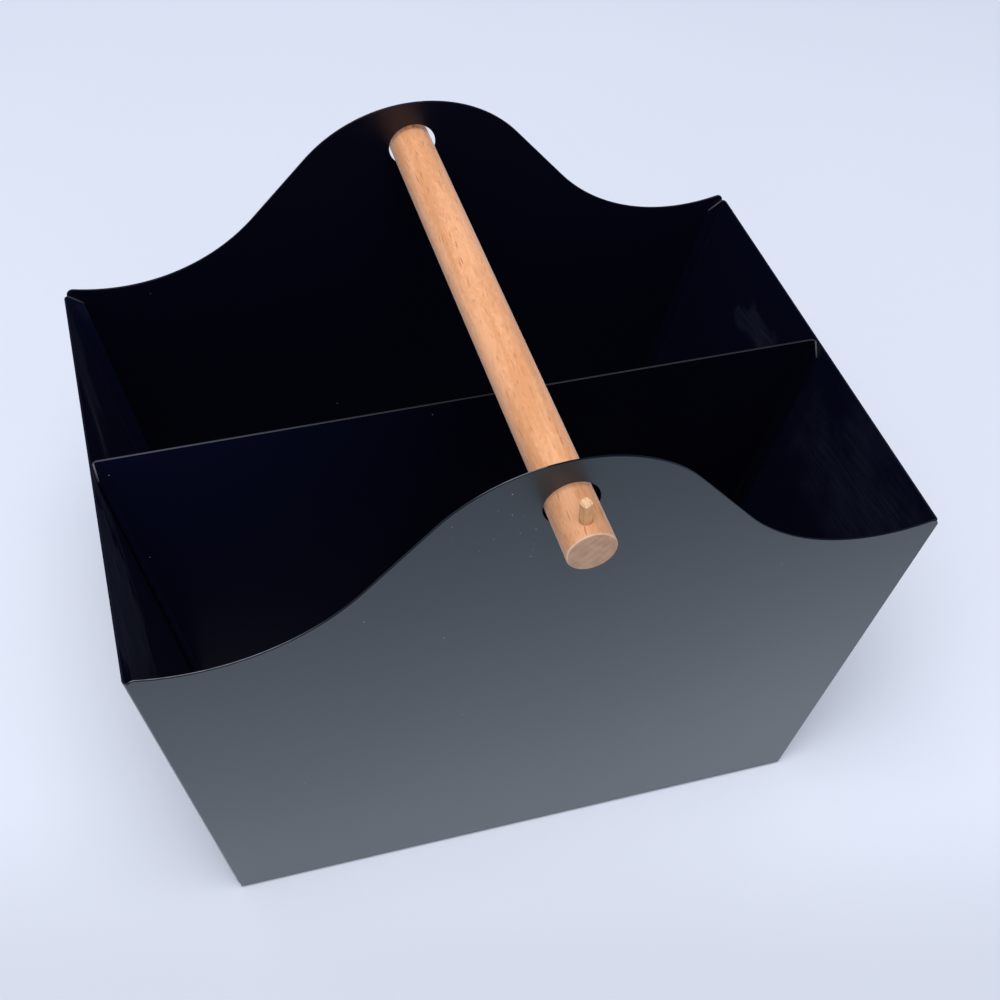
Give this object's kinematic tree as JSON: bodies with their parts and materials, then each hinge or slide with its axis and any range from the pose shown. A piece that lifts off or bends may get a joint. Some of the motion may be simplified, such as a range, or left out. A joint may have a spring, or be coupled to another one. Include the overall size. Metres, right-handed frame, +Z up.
{
  "type": "magazine basket",
  "caption": "Tapered sheet-metal magazine basket with wavy end panels, a divider across the middle and a wooden dowel handle held by pegs.",
  "frame": {"origin": "in the middle of the underside of the basket's flat bottom", "axes": "+X along the basket's width, -Y towards the front panel, +Z up; the handle's dowel lies along Y"},
  "size_m": [0.35, 0.2697, 0.269],
  "materials": {
    "black_coating": "satin black powder coat on steel sheet",
    "beech": "bare sanded beech",
    "peg_wood": "bare cut wood"
  },
  "bodies": {
    "basket": {"body_sheet": "black_coating", "front_panel": "black_coating", "back_panel": "black_coating", "divider": "black_coating"},
    "handle": {"handle_dowel": "beech", "front_peg": "peg_wood", "back_peg": "peg_wood"}
  },
  "joints": [
    {"name": "handle_turn", "type": "hinge", "parent": "basket", "child": "handle", "pos_m": [0, 0, 0.2443], "axis": [0, 1, 0], "continuous": true}
  ]
}
